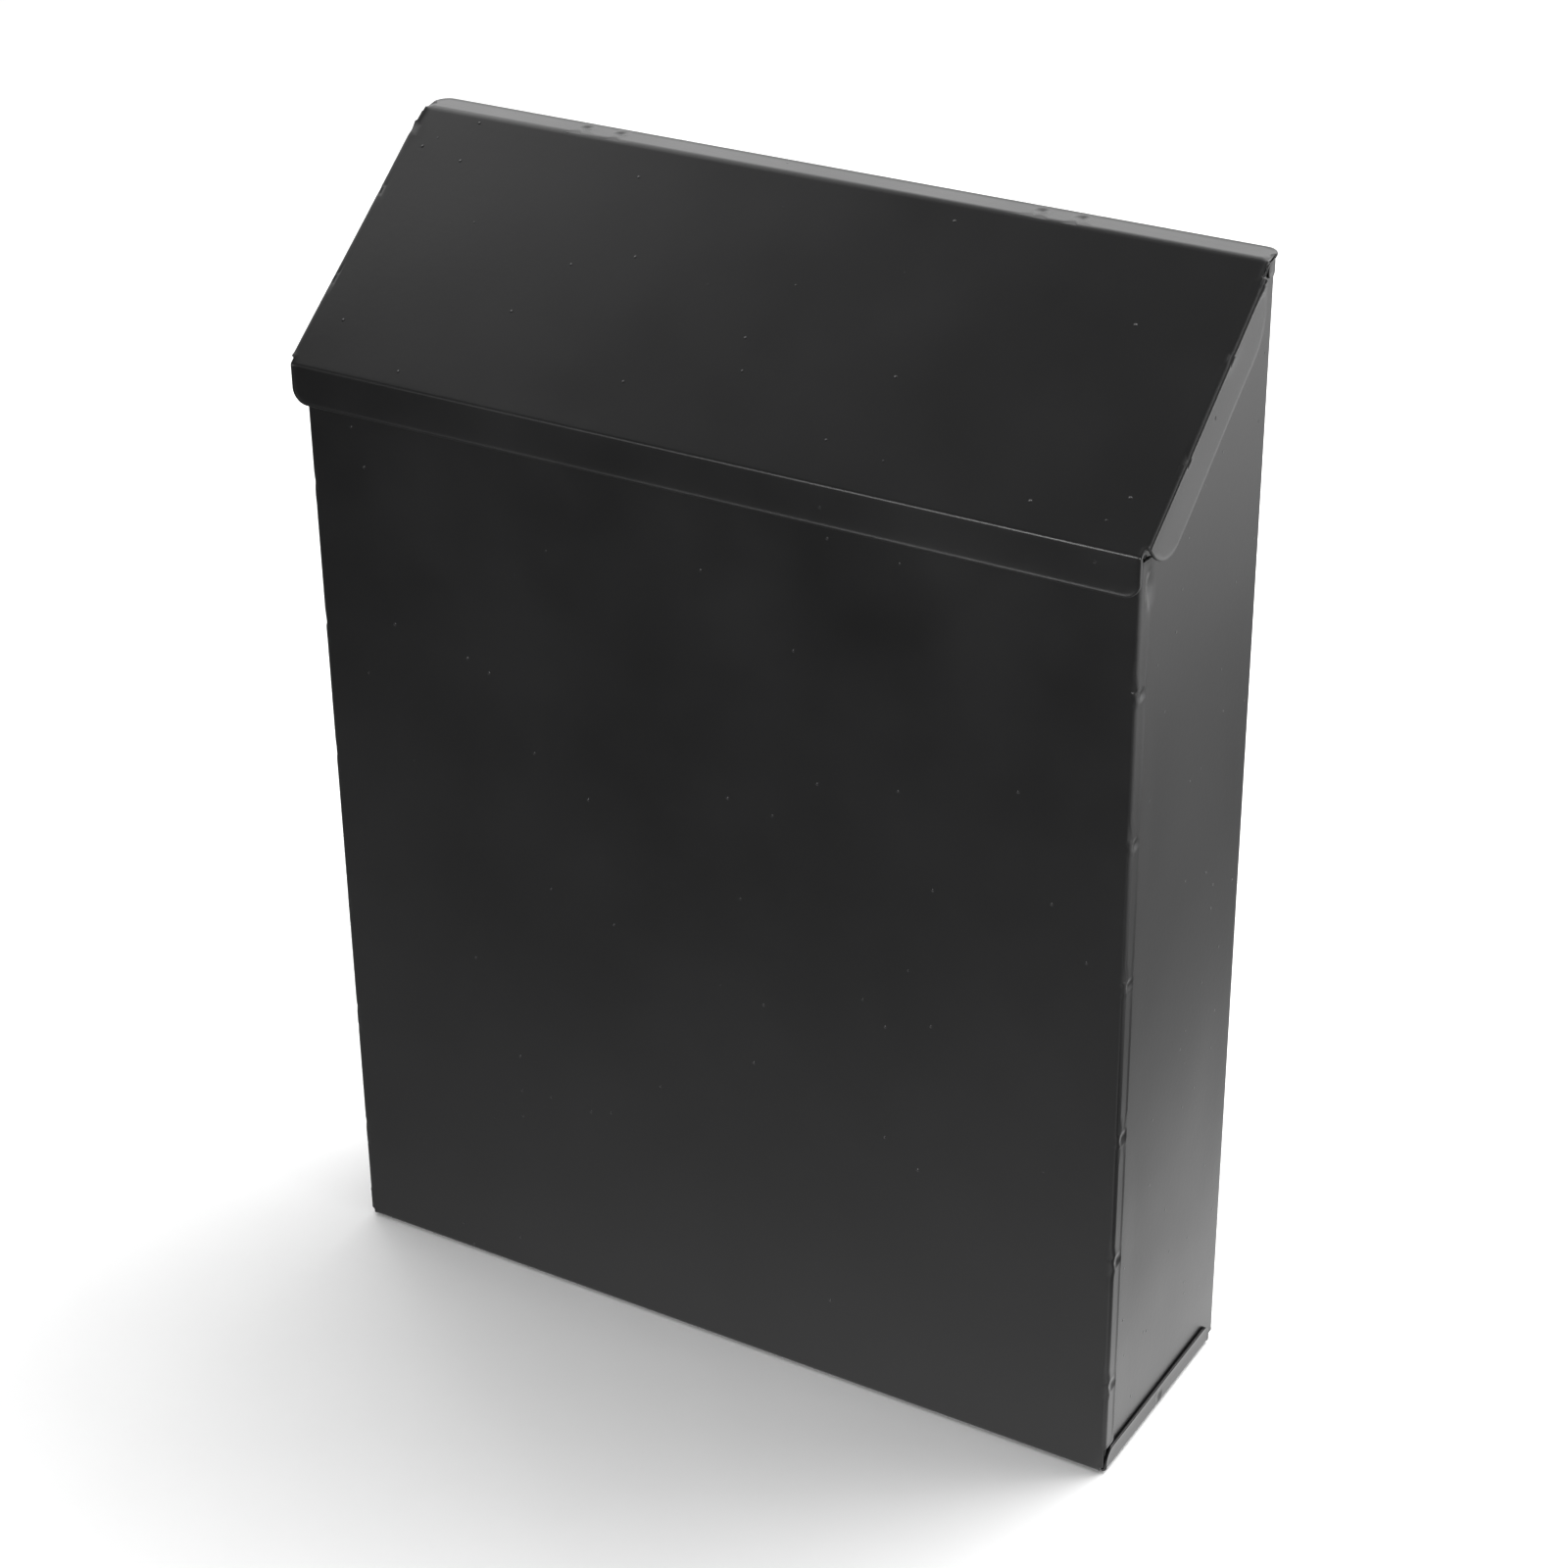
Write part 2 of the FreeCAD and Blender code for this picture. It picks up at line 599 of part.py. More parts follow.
def check_document(pieces):
    """Stop if any object failed to compute or any piece isn't one valid solid."""
    document.recompute()
    for item in document.Objects:
        if "Invalid" in item.State or "Error" in item.State:
            raise RuntimeError(f"{item.Name} is {item.State}")
    for piece in pieces:
        shape = piece.Shape
        if shape.isNull() or not shape.isValid() or len(shape.Solids) != 1:
            raise RuntimeError(f"{piece.Label} isn't one valid solid")


def write_parts(pieces):
    os.makedirs("parts", exist_ok=True)
    for piece in pieces:
        piece.Shape.exportStep(f"parts/{piece.Label}.step")
        print(f"{piece.Label}: {piece.Shape.Volume / 1000:.2f} cm3")


all_pieces = [make_back_and_sides(), make_front_and_bottom(), make_lid()] + make_hinges()
check_document(all_pieces)
write_parts(all_pieces)
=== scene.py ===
import math

import bpy
import numpy as np
from mathutils import Matrix, Vector
from mathutils.geometry import delaunay_2d_cdt


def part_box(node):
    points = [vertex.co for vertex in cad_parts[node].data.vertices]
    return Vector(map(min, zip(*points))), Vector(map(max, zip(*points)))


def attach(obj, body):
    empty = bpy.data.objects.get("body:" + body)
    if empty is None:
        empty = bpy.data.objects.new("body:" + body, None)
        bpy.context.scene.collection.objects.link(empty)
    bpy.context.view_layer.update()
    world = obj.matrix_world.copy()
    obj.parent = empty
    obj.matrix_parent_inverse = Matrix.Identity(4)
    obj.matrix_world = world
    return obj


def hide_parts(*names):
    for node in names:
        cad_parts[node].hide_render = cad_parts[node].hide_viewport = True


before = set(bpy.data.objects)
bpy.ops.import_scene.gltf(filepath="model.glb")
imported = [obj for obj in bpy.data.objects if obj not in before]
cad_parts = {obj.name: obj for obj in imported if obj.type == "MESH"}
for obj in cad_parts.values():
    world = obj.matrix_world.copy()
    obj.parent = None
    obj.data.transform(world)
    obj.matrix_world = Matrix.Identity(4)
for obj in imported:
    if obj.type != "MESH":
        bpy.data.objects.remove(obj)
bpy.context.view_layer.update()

# A wall mailbox of folded and spot-welded steel sheet, under black powder coat.
# Each sheet is drawn flat, as it is cut, and then folded. Sizes are in millimetres, in the CAD frame.

METRE = 1000.0
SHEET = 0.8
LEAF = 0.6                         # hinge leaf
BEND = 1.15                        # outside radius of the sharp folds
QUARTER = BEND * math.pi / 2       # length of a sharp right-angled fold, along its outside
EDGE_ROUND = 0.25                  # every cut edge is rounded by its coating
BEAD_WIDTH = 1.0                   # the coating is thickest along the cut edges
BEAD_HEIGHT = 0.14
CORNER = 0.40                      # radius in plan of the sharpest corners
WELD_RADIUS = 2.0
WELD_DEPTH = 0.32
WELD_RIDGE = 0.05                  # thrown up round the electrode's mark
KNOCK_HEIGHT = 260                 # a knock in the right front seam, above the underside
KNOCK_INSET = 5.2                  # from the face of the front panel
KNOCK_DEPTH = 1.3
KNOCK_LINES = KNOCK_HEIGHT + np.arange(-11, 9, 1.4)
SLOPE = math.radians(37.8)         # slanted panel of the lid, below the horizontal
STRIP_DEPTH = 9.2                  # wall plane to the fold between hinge strip and slanted panel
HINGE_X = 66.5
HINGE_HALF_LENGTH = 13
KNUCKLE = 1.55                     # outside radius


def node_box(node):
    """Lowest and highest corner of a CAD node, in millimetres."""
    low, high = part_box(node)
    return low * METRE, high * METRE


BACK_LOW, BACK_HIGH = node_box("back_and_sides")
FRONT_LOW, FRONT_HIGH = node_box("front_and_bottom")
LID_LOW, LID_HIGH = node_box("lid")
PIN_LOW, PIN_HIGH = node_box("hinge_left_pin")
AXIS_Y = (PIN_LOW.y + PIN_HIGH.y) / 2
AXIS_Z = (PIN_LOW.z + PIN_HIGH.z) / 2


# ---------------------------------------------------------------- folding

class FoldLine:
    """A sheet seen from its end: the line of its outside face, straight runs joined by round bends.

    The outside is to the right of the heading, bends turn left and their radius is the outside one.
    A run is (length, 0) or (radius, turn in degrees). Distances are measured along the outside face."""

    def __init__(self, start, heading, runs):
        self.parts = []
        self.bends = []
        point, angle, distance = np.array(start, float), math.radians(heading), 0.0
        for size, turn in runs:
            turn = math.radians(turn)
            span = size * turn if turn else size
            self.parts.append((distance, span, point, angle, size, turn))
            if turn:
                self.bends.append((distance, distance + span))
                centre = point - size * self.normal(angle)
                angle += turn
                point = centre + size * self.normal(angle)
            else:
                point = point + span * self.direction(angle)
            distance += span
        self.length = distance

    @staticmethod
    def normal(angle):
        return np.stack([np.sin(angle), -np.cos(angle)], axis=-1)

    @staticmethod
    def direction(angle):
        return np.stack([np.cos(angle), np.sin(angle)], axis=-1)

    def at(self, distances):
        """Points on the outside face at these distances, and the outward normals there."""
        points = np.zeros((len(distances), 2))
        normals = np.zeros((len(distances), 2))
        for number, (begin, span, start, angle, size, turn) in enumerate(self.parts):
            here = np.ones(len(distances), bool)
            if number > 0:
                here &= distances >= begin
            if number < len(self.parts) - 1:
                here &= distances < begin + span
            local = distances[here] - begin
            if turn:
                angles = angle + local / size
                points[here] = start - size * self.normal(angle) + size * self.normal(angles)
                normals[here] = self.normal(angles)
            else:
                points[here] = start + local[:, None] * self.direction(angle)
                normals[here] = self.normal(angle)
        return points, normals


def fold_channel(line, half_width, folded=None, start=(0, 0)):
    """Fold a blank over a line in the YZ plane, with its sides turned down at half_width either side.

    folded gives, from 0 to 1, how much the sides are turned at each distance along the line.
    start is a distance and a half width: before that distance the sides are turned straight down,
    at that half width, and after it square to the sheet."""
    start_along, start_half = start

    def place(across, along):
        points, normals = line.at(along)
        flat_half = np.where(along < start_along, start_half, half_width) - BEND
        beyond = np.clip(np.abs(across) - flat_half, 0, None)
        angle = np.clip(beyond / BEND, 0, math.pi / 2)
        straight = np.clip(beyond - QUARTER, 0, None)
        share = np.ones(len(along)) if folded is None else folded(along)
        x = np.minimum(np.abs(across), flat_half) + share * BEND * np.sin(angle) + (1 - share) * beyond
        drop = share * (BEND * (1 - np.cos(angle)) + straight)
        down = normals.copy()
        down[along < start_along] = (0, 1)
        side = np.sign(across)
        tilt = share * angle
        outward = np.column_stack([side * np.sin(tilt), normals * np.cos(tilt)[:, None]])
        return np.column_stack([side * x, points - down * drop[:, None]]), outward

    narrowest = min(half_width, start_half or half_width) - BEND
    edge = (narrowest, half_width - BEND + QUARTER)
    place.lines = ([(-edge[1], -edge[0]), edge], line.bends)
    return place


def fold_wrap(line):
    """Fold a blank round a line in the XY plane: across runs along the line and along runs up."""
    def place(across, along):
        points, normals = line.at(across)
        return np.column_stack([points, along]), np.column_stack([normals, np.zeros(len(points))])

    place.lines = (line.bends, [])
    return place


def fold_curl(line, middle, mirrored):
    """Fold a hinge leaf over a line in the YZ plane, mirrored if the line is drawn in -Y and Z."""
    flip = -1 if mirrored else 1

    def place(across, along):
        points, normals = line.at(along)
        level = np.zeros(len(points))
        where = np.column_stack([across + middle, points[:, 0] * flip, points[:, 1]])
        return where, np.column_stack([level, normals[:, 0] * flip, normals[:, 1]])

    place.lines = ([], line.bends)
    return place


# ---------------------------------------------------------------- blanks

def rounded(corners, step=0.35):
    """A closed outline through corners (across, along, radius), each rounded to its radius."""
    loop = []
    count = len(corners)
    for index, (x, y, radius) in enumerate(corners):
        corner = np.array([x, y], float)
        before = np.array(corners[index - 1][:2], float) - corner
        after = np.array(corners[(index + 1) % count][:2], float) - corner
        before /= np.linalg.norm(before)
        after /= np.linalg.norm(after)
        half = math.acos(np.clip(before @ after, -1, 1)) / 2
        bisector = (before + after) / np.linalg.norm(before + after)
        centre = corner + bisector * radius / math.sin(half)
        start = corner + before * radius / math.tan(half) - centre
        end = corner + after * radius / math.tan(half) - centre
        sweep = math.atan2(start[0] * end[1] - start[1] * end[0], start @ end)
        steps = max(3, math.ceil(abs(sweep) * radius / step))
        for part in np.linspace(0, sweep, steps + 1):
            turn = np.array([[math.cos(part), -math.sin(part)], [math.sin(part), math.cos(part)]])
            loop.append(centre + turn @ start)
    return anticlockwise(loop)


def symmetric(corners):
    """Corners of the right half of an outline, completed by their mirror images."""
    return corners + [(-across, along, radius) for across, along, radius in reversed(corners)]


def anticlockwise(loop):
    area = sum(a[0] * b[1] - a[1] * b[0] for a, b in zip(loop, loop[1:] + loop[:1]))
    return loop if area > 0 else loop[::-1]


def circle(centre, radius, count=40):
    angles = np.linspace(0, 2 * math.pi, count, endpoint=False)
    return [np.array([centre[0] + radius * math.cos(a), centre[1] + radius * math.sin(a)]) for a in angles]


def mesh_lines(low, high, spacing, bends, bend_step=0.26):
    """Places of the mesh lines: an even grid, and a close one over each bend."""
    lines = set(np.arange(low + spacing / 2, high, spacing))
    for begin, end in bends:
        steps = max(3, math.ceil((end - begin) / bend_step))
        lines = {line for line in lines if not begin - spacing / 3 < line < end + spacing / 3}
        lines |= set(np.linspace(begin, end, steps + 1)) | {begin - 1.0, end + 1.0}
    return np.array(sorted(lines))


def split_at_lines(loop, across_lines, along_lines, shortest=0.08):
    """Add a point wherever an outline crosses a mesh line, so that the outline folds with the mesh."""
    result = []
    for start, end in zip(loop, loop[1:] + loop[:1]):
        length = np.linalg.norm(end - start)
        margin = shortest / max(length, shortest)
        cuts = []
        for axis, lines in ((0, across_lines), (1, along_lines)):
            span = end[axis] - start[axis]
            if abs(span) > 1e-6:
                cuts += [cut for cut in (lines - start[axis]) / span if margin < cut < 1 - margin]
        kept = [0.0]
        for cut in sorted(cuts):
            if cut - kept[-1] > margin:
                kept.append(cut)
        result += [start + (end - start) * cut for cut in kept]
    return result


def inside(points, loop):
    """True for each point that lies inside a closed outline."""
    result = np.zeros(len(points), bool)
    for (x1, y1), (x2, y2) in zip(loop, loop[1:] + loop[:1]):
        if y1 != y2:
            crosses = (y1 > points[:, 1]) != (y2 > points[:, 1])
            result ^= crosses & (points[:, 0] < x1 + (x2 - x1) / (y2 - y1) * (points[:, 1] - y1))
    return result


def distance_to(points, loop):
    """Distance from each point to a closed outline."""
    nearest = np.full(len(points), np.inf)
    for start, end in zip(loop, loop[1:] + loop[:1]):
        span = end - start
        fraction = np.clip((points - start) @ span / (span @ span), 0, 1)
        nearest = np.minimum(nearest, np.linalg.norm(points - start - fraction[:, None] * span, axis=1))
    return nearest


def inward(loop):
    """At each corner of an outline, the step that moves both of its edges inwards by one."""
    points = np.array(loop)
    ahead = np.roll(points, -1, axis=0) - points
    ahead /= np.linalg.norm(ahead, axis=1)[:, None]
    left = np.column_stack([-ahead[:, 1], ahead[:, 0]])
    before = np.roll(left, 1, axis=0)
    return (left + before) / (1 + (left * before).sum(axis=1))[:, None]


class Blank:
    """A flat sheet with holes, meshed with lines along its bends and rings at its welds."""

    def __init__(self, outline, place, holes=(), welds=(), spacing=5.0, cuts=((), ()), edge=EDGE_ROUND):
        self.edge = edge
        self.bead_height = BEAD_HEIGHT * edge / EDGE_ROUND
        low, high = np.min(outline, axis=0), np.max(outline, axis=0)
        lines = [mesh_lines(low[axis], high[axis], spacing, place.lines[axis]) for axis in (0, 1)]
        lines = [np.union1d(lines[axis], cuts[axis]) for axis in (0, 1)]
        loops = [split_at_lines(outline, *lines)]
        loops += [split_at_lines(hole, *lines)[::-1] for hole in holes]
        self.steps = [inward(loop) for loop in loops]
        self.loops = [np.array(loop) + edge * step for loop, step in zip(loops, self.steps)]
        grid = np.array([(x, y) for x in lines[0] for y in lines[1]])
        grid = grid[self.covers(grid)]
        for loop in self.loops:
            grid = grid[distance_to(grid, list(loop)) > BEAD_WIDTH * 1.1]
        grid = np.vstack([grid, self.bead_points(loops)])
        for weld in welds:
            grid = grid[np.linalg.norm(grid - weld, axis=1) > WELD_RADIUS * 1.6]
            ring = weld_rings(weld)
            ring = ring[self.covers(ring)]
            for loop in self.loops:
                ring = ring[distance_to(ring, list(loop)) > edge / 2]
            grid = np.vstack([grid, ring])
        self.triangulate(grid)

    def bead_points(self, loops):
        """Points along the cut edges, where the coating's bead slopes down to the sheet."""
        rows = []
        for inset in (0.4 * BEAD_WIDTH, BEAD_WIDTH):
            row = np.vstack([loop + inset * step for loop, step in zip(self.loops, self.steps)])
            row = row[self.covers(row)]
            clear = np.min([distance_to(row, list(loop)) for loop in self.loops], axis=0)
            rows.append(row[clear > 0.9 * inset])
        return np.vstack(rows)

    def bead(self, flat):
        """Height of the thicker coating along the cut edges."""
        away = np.min([distance_to(flat, list(loop)) for loop in self.loops], axis=0)
        away[~self.covers(flat)] = 0
        return self.bead_height * np.exp(-(away / (0.5 * BEAD_WIDTH)) ** 2)

    def covers(self, points):
        result = inside(points, list(self.loops[0]))
        for hole in self.loops[1:]:
            result &= ~inside(points, list(hole))
        return result

    def triangulate(self, grid):
        points = np.vstack([*self.loops, grid])
        edges, self.rims, first = [], [], 0
        for loop in self.loops:
            count = len(loop)
            edges += [(first + i, first + (i + 1) % count) for i in range(count)]
            self.rims.append(np.arange(first, first + count))
            first += count
        flat, _, faces, origins, *_ = delaunay_2d_cdt([Vector(p) for p in points], edges, [], 0, 1e-6)
        self.flat = np.array([tuple(p) for p in flat])
        where = {old: new for new, olds in enumerate(origins) for old in olds}
        self.rims = [np.array([where[old] for old in rim]) for rim in self.rims]
        centres = np.array([self.flat[list(face)].mean(axis=0) for face in faces])
        self.faces = [face for face, wanted in zip(faces, self.covers(centres)) if wanted]


def weld_rings(centre):
    """Points in rings about a spot weld, closest where its rim curves."""
    radii = np.array([0.001, 0.5, 0.9, 1.3, 1.6, 1.8, 2.0, 2.2, 2.5, 2.9])
    rings = []
    for number, radius in enumerate(radii):
        angles = np.linspace(0, 2 * math.pi, 6 if radius < 0.5 else 22, endpoint=False) + number * 0.14
        rings.append(np.column_stack([np.cos(angles), np.sin(angles)]) * radius + centre)
    return np.vstack([rings[0][:1], *rings[1:]])


def weld_dish(flat, welds):
    """How far a spot weld's electrode presses each point in, with a slight ridge thrown up round it."""
    sunk = np.zeros(len(flat))
    for weld in welds:
        radius = np.linalg.norm(flat - weld, axis=1)
        bowl = 0.5 + 0.5 * np.cos(math.pi * np.clip(radius / (WELD_RADIUS + 0.2), 0, 1))
        ridge = np.exp(-((radius - WELD_RADIUS - 0.3) / 0.35) ** 2)
        sunk += WELD_DEPTH * bowl - WELD_RIDGE * ridge
    return sunk


def sheet_piece(name, blank, place, welds=(), bulge=None, thickness=SHEET):
    """A closed mesh of a folded sheet, with its cut edges rounded."""
    def points_at(flat, depth):
        where, outward = place(flat[:, 0], flat[:, 1])
        lift = np.zeros(len(flat)) if bulge is None else bulge(flat, where)
        return where + outward * (lift - depth)[:, None]

    count = len(blank.flat)
    top = points_at(blank.flat, weld_dish(blank.flat, welds) - blank.bead(blank.flat))
    under = points_at(blank.flat, np.full(count, thickness))
    vertices = [top, under]
    faces = [tuple(face) for face in blank.faces]
    faces += [tuple(index + count for index in reversed(face)) for face in blank.faces]
    total = 2 * count
    quarter = np.linspace(0, math.pi / 2, 4)
    edge = blank.edge
    fall = edge + blank.bead_height
    outer = [(edge * math.sin(a), fall * (1 - math.cos(a)) - blank.bead_height) for a in quarter[1:]]
    inner = [(edge * math.sin(a), thickness - edge * (1 - math.cos(a))) for a in quarter[:0:-1]]
    profile = outer + inner
    for rim, loop, step in zip(blank.rims, blank.loops, blank.steps):
        rings = [rim]
        for out, depth in profile:
            vertices.append(points_at(loop - step * out, np.full(len(loop), depth)))
            rings.append(np.arange(total, total + len(loop)))
            total += len(loop)
        rings.append(rim + count)
        for ring, following in zip(rings, rings[1:]):
            faces += list(zip(ring, following, np.roll(following, -1), np.roll(ring, -1)))
    return mesh_object(name, np.vstack(vertices), faces)


def mesh_object(name, points, faces):
    """A smooth mesh object from points in millimetres. Its normals follow the larger faces."""
    points = np.asarray(points) / METRE
    volume = 0.0
    normals = np.zeros_like(points)
    for face in faces:
        corners = points[list(face)]
        spokes = corners[1:] - corners[0]
        area = np.cross(spokes[:-1], spokes[1:]).sum(axis=0)
        volume += corners[0] @ area
        normals[list(face)] += area
    if volume < 0:
        faces = [tuple(reversed(face)) for face in faces]
        normals = -normals
    mesh = bpy.data.meshes.new(name)
    mesh.from_pydata([tuple(p) for p in points], [], [tuple(int(i) for i in face) for face in faces])
    mesh.shade_smooth()
    lengths = np.linalg.norm(normals, axis=1)[:, None]
    mesh.normals_split_custom_set_from_vertices((normals / np.maximum(lengths, 1e-20)).tolist())
    piece = bpy.data.objects.new(name, mesh)
    bpy.context.scene.collection.objects.link(piece)
    return piece


def waves(flat, terms):
    """A gentle unevenness of a sheet: a sum of (height, across period, along period, phase)."""
    height = np.zeros(len(flat))
    for size, across, along, phase in terms:
        height += size * np.sin(flat[:, 0] * 2 * math.pi / across + phase) * \
            np.cos(flat[:, 1] * 2 * math.pi / along + 1.7 * phase)
    return height


def corner_dent(where):
    """A knock at the top of the right front seam, in both of the sheets that meet there."""
    inset = where[:, 1] - FRONT_LOW.y - KNOCK_INSET
    height = where[:, 2] - FRONT_LOW.z - KNOCK_HEIGHT
    return -KNOCK_DEPTH * np.exp(-(inset / 2.3) ** 2 - (height / 4.0) ** 2) * (where[:, 0] > 0)


def fade(values, begin, end):
    """0 up to begin, 1 from end on, and smooth between."""
    share = np.clip((values - begin) / (end - begin), 0, 1)
    return share * share * (3 - 2 * share)


# ---------------------------------------------------------------- lid

def make_lid():
    top, front, rear = LID_HIGH.z, LID_LOW.y, LID_HIGH.y
    fold_y, fold_radius, lip = -STRIP_DEPTH, 3.8, 11.1
    strip_tangent = fold_radius * math.tan(SLOPE / 2)
    lip_turn = math.pi / 2 - SLOPE
    lip_tangent = BEND * math.tan(lip_turn / 2)
    slant = (fold_y - front) / math.cos(SLOPE)
    line = FoldLine((rear, top), 180, [
        (rear - fold_y - strip_tangent, 0),
        (fold_radius, math.degrees(SLOPE)),
        (slant - strip_tangent - lip_tangent, 0),
        (BEND, math.degrees(lip_turn)),
        (lip - lip_tangent, 0),
    ])
    slant_from = line.bends[0][1] - strip_tangent

    def on_slant(y):
        """Distance along the line of a place on the slanted panel."""
        return slant_from + (fold_y - y) / math.cos(SLOPE)

    half, panel_half = LID_HIGH.x, 122.0
    ear_width, ear_height = 3.6, 5
    ear_front = rear - fold_y
    ear_rear = ear_front - ear_width
    ear_out = panel_half + QUARTER + ear_height - 2 * BEND
    step = 0.15                      # length over which a fold starts or stops
    flange = 12.1
    flange_from = half - BEND + QUARTER
    flange_out = flange_from + flange - BEND
    flange_rear, flange_front = on_slant(-13.1), on_slant(-72.8)

    def folded(along):
        ear = fade(along, ear_rear - step, ear_rear) * (1 - fade(along, ear_front, ear_front + step))
        return np.maximum(ear, fade(along, flange_rear - step, flange_rear))

    place = fold_channel(line, half, folded, start=(flange_rear - 1, panel_half))
    outline = rounded(symmetric([
        (panel_half, 0, 4.2),
        (panel_half, ear_rear, CORNER),
        (ear_out, ear_rear, 1.2),
        (ear_out, ear_front, 1.2),
        (panel_half, ear_front, CORNER),
        (panel_half, flange_rear, CORNER),
        (flange_from, flange_rear, 0.6),
        (flange_out, flange_rear + (flange - BEND) * math.tan(SLOPE), 14),
        (flange_out, flange_front, 9.5),
        (panel_half, flange_front, CORNER),
        (panel_half, line.length, 4.5),
    ]))
    weld_line = rear + 4.6
    welds = [(x, weld_line) for x in (-73.4, -63.0, 59.6, 70.6)]
    cuts = ((), (ear_rear - step, ear_rear, ear_front, ear_front + step, flange_rear - step, flange_rear))

    def bulge(flat, _):
        across, along = flat[:, 0], flat[:, 1]
        on_panel = fade(along, 12, 30) * (1 - fade(along, 75, 90))
        panel = waves(flat, [(0.09, 190, 130, 0.4), (0.05, 83, 96, 2.1)]) * on_panel
        beyond = fade(np.abs(across), flange_from, flange_out)
        splay = beyond * (0.12 + 0.55 * fade(along, 35, 90)) * fade(along, 12, 18)
        return panel + splay

    blank = Blank(outline, place, welds=welds, spacing=4.0, cuts=cuts)
    piece = sheet_piece("lid_sheet", blank, place, welds, bulge)
    return finish_piece(piece, "lid", "lid", "black_coat")


# ---------------------------------------------------------------- front and bottom

def make_front():
    width = FRONT_HIGH.x
    top, underside = FRONT_HIGH.z, FRONT_LOW.z
    face, rear = FRONT_LOW.y, FRONT_HIGH.y
    hem, hem_radius = 8.0, 0.81
    side_flange, foot_flange, rear_flange = 5, 6.5, 12.0
    flange_top, flange_foot, corner_foot = 268, 8, 1.9
    foot_rear, notch_rear, rear_inset = -4.5, -2.8, 6
    line = FoldLine((face + 2 * hem_radius, top - hem), 90, [
        (hem - hem_radius, 0),
        (hem_radius, 180),
        (top - hem_radius - underside - BEND, 0),
        (BEND, 90),
        (rear - face - 2 * BEND, 0),
        (BEND, 90),
        (rear_flange - BEND, 0),
    ])
    front_from = line.bends[0][1]
    bottom_from = line.bends[1][1]

    def up_front(z):
        """Distance along the line of a height on the front panel, above the underside."""
        return front_from + top - hem_radius - underside - z

    def on_bottom(y):
        return bottom_from + y - face - BEND

    flat_half = width - BEND
    seam = flat_half + QUARTER - BEND
    hem_half = width - 2.4
    place = fold_channel(line, width)
    outline = rounded(symmetric([
        (hem_half, 0, 1.5),
        (hem_half, front_from - 1.6, CORNER),
        (flat_half, front_from, CORNER),
        (flat_half, up_front(flange_top), CORNER),
        (seam + side_flange, up_front(flange_top), 0.8),
        (seam + side_flange, up_front(flange_foot), 0.8),
        (seam + 0.2, up_front(flange_foot), 0.3),
        (seam + 0.2, up_front(corner_foot), 0.3),
        (flat_half, up_front(corner_foot), CORNER),
        (flat_half, bottom_from, CORNER),
        (seam + foot_flange, bottom_from, 4),
        (seam + foot_flange, on_bottom(foot_rear), 4),
        (flat_half, on_bottom(foot_rear), CORNER),
        (flat_half, on_bottom(notch_rear), CORNER),
        (width - rear_inset, on_bottom(notch_rear), CORNER),
        (width - rear_inset, line.length, 1.0),
    ]))
    weld_heights = (28.5, 68.7, 106.6, 151.9, 192.0, 232.7)
    foot_weld = -37
    welds = [(side * (seam + 2.6), up_front(z)) for side in (-1, 1) for z in weld_heights]
    welds += [(side * (seam + 3.2), on_bottom(foot_weld)) for side in (-1, 1)]

    def bulge(flat, where):
        across, along = flat[:, 0], flat[:, 1]
        on_front = fade(along, 20, 60) * (1 - fade(along, 230, 275))
        centre = 1 - fade(np.abs(across), 70, flat_half)
        panel = waves(flat, [(0.09, 260, 300, 0.9), (0.03, 120, 150, 2.6)]) * on_front * centre
        depth = np.clip((np.abs(across) - flat_half - QUARTER) / side_flange, 0, 1.3)
        foot = 1 - np.exp(-((where[:, 1] - foot_weld) / 9) ** 2)
        bow = 0.03 * depth * foot * fade(along, bottom_from, bottom_from + 6)
        height = where[:, 2] - underside
        held = sum(np.exp(-((height - z) / 11) ** 2) for z in weld_heights)
        loose = 0.10 + 0.24 * fade(height, 180, 262)
        above_foot = 1 - fade(along, up_front(flange_foot + 1), up_front(flange_foot))
        seam_bow = loose * depth * (1 - held) * above_foot
        knock = corner_dent(where) * fade(np.abs(across), flat_half + QUARTER, seam + 3)
        return panel + knock + np.where(along < bottom_from, seam_bow, bow)

    cuts = (seam + np.array([1.2, 2.4, 3.6]), up_front(KNOCK_LINES))
    blank = Blank(outline, place, welds=welds, spacing=5.0, cuts=cuts)
    piece = sheet_piece("front_and_bottom_sheet", blank, place, welds, bulge)
    return finish_piece(piece, "front_and_bottom", "mailbox_body", "black_coat")


# ---------------------------------------------------------------- back and sides

